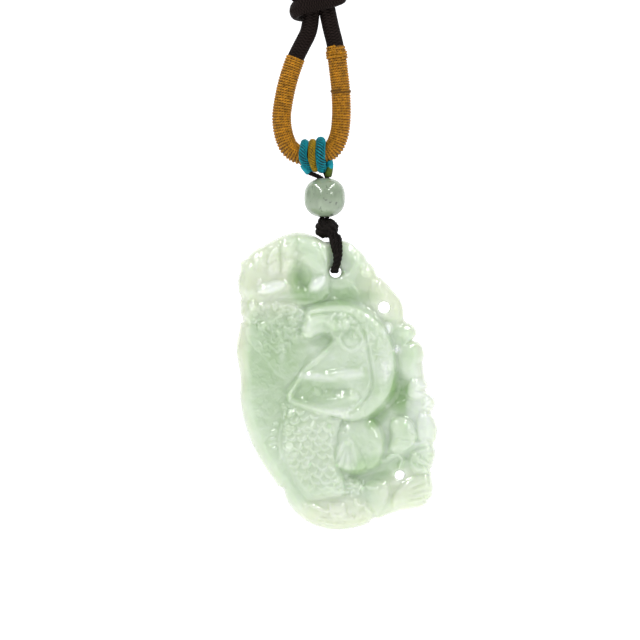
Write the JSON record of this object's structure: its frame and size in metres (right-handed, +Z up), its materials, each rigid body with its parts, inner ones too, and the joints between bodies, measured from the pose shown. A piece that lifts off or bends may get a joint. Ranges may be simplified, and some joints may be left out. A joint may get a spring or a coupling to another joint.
{
  "type": "chinese jade pendant",
  "caption": "Carved pale green jade pendant of a fish among leaves and waves, on a round bead and a gold-wound loop of a braided neck cord.",
  "frame": {"origin": "under the closing knot, where the neck loop rests at the nape", "axes": "+Z up along the hanging necklace, -Y the way the carving faces, +X to the right seen from the front"},
  "size_m": [0.123, 0.0123, 0.3787],
  "materials": {
    "jade": "polished",
    "bead_stone": "polished",
    "dark_cord": "braided",
    "thin_cord": "twisted",
    "gold_thread": "wound thread",
    "blue_thread": "wound thread",
    "yellow_thread": "wound thread",
    "green_thread": "wound thread"
  },
  "bodies": {
    "cord_and_bead": {"bead": "bead_stone", "neck_cord": "dark_cord", "closing_knot": "dark_cord", "top_knot": "dark_cord", "gold_wrap_left": "gold_thread", "gold_wrap_right": "gold_thread", "ring_blue_left": "blue_thread", "ring_yellow": "yellow_thread", "ring_blue_right": "blue_thread", "tail_wrap_left": "blue_thread", "tail_wrap_right": "green_thread", "bead_strand_left": "thin_cord", "bead_strand_right": "thin_cord", "lower_knot": "thin_cord", "pendant_loop": "thin_cord"},
    "stone": {"jade_carving": "jade"}
  },
  "joints": [
    {"name": "pendant_swing", "type": "hinge", "parent": "cord_and_bead", "child": "stone", "pos_m": [0.0033, 0, -0.32147], "axis": [0, -1, 0], "range_deg": [0, 20]}
  ]
}
